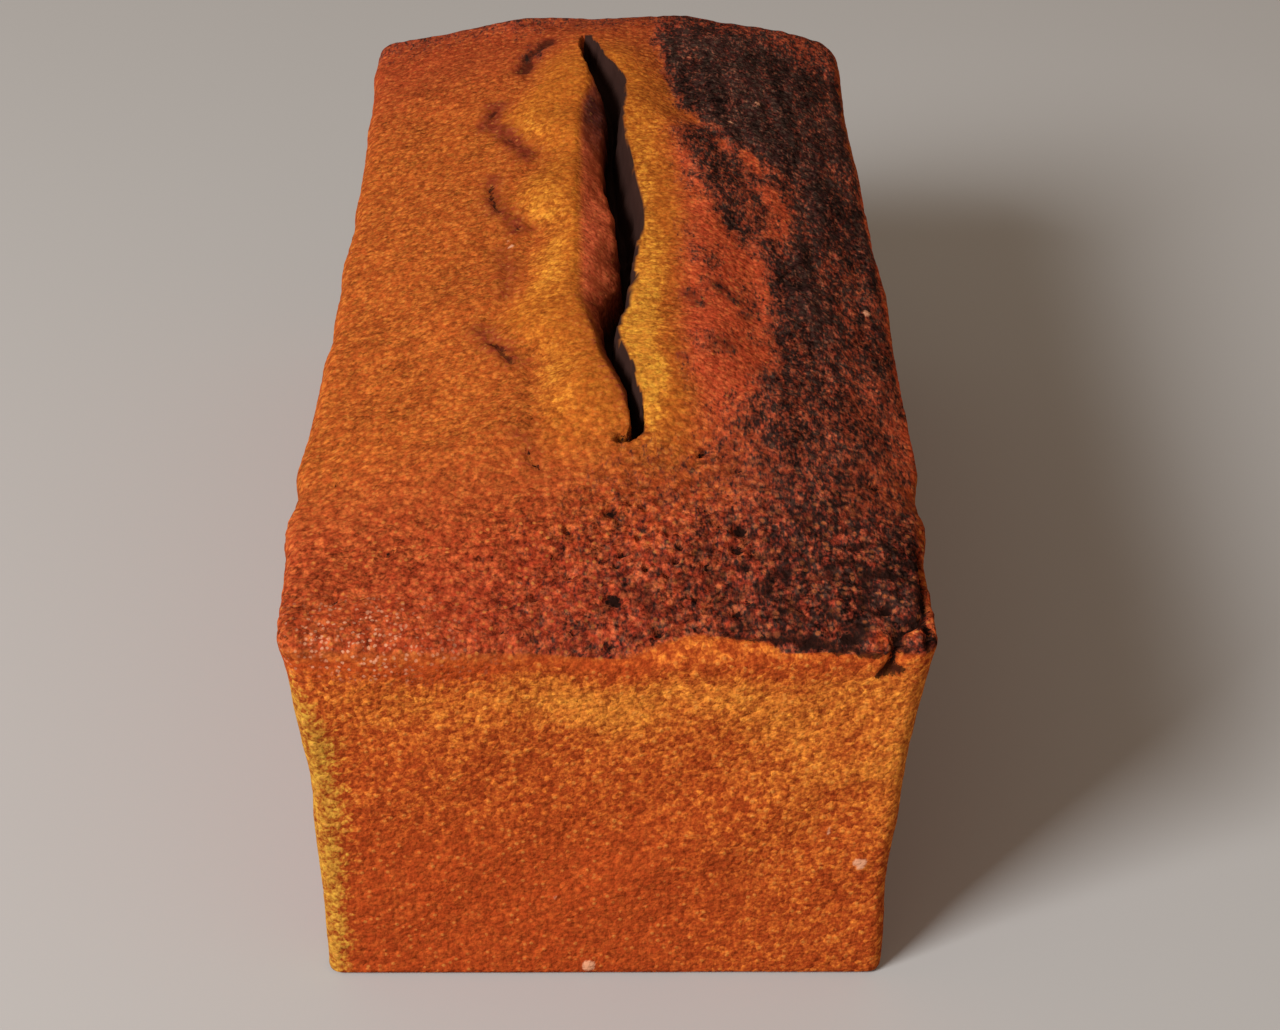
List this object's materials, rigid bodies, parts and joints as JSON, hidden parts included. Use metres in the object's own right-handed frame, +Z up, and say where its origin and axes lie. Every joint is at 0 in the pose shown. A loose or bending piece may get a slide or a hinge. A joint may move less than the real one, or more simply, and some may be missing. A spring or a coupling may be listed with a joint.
{
  "type": "pound cake",
  "caption": "Whole loaf-shaped pound cake with flared tin-baked sides, a domed brown crust and a lengthwise split along its crown.",
  "frame": {"origin": "middle of the flat base, on the surface the cake stands on", "axes": "+Y along the loaf from its low end to its high end, +X across it to the darker side of the crust, +Z up"},
  "size_m": [0.0838, 0.1768, 0.0711],
  "materials": {
    "baked_crust": "dry granular cake crust, golden brown on the sides, dark brown on part of the top"
  },
  "bodies": {
    "root": {"loaf": "baked_crust"}
  },
  "joints": []
}
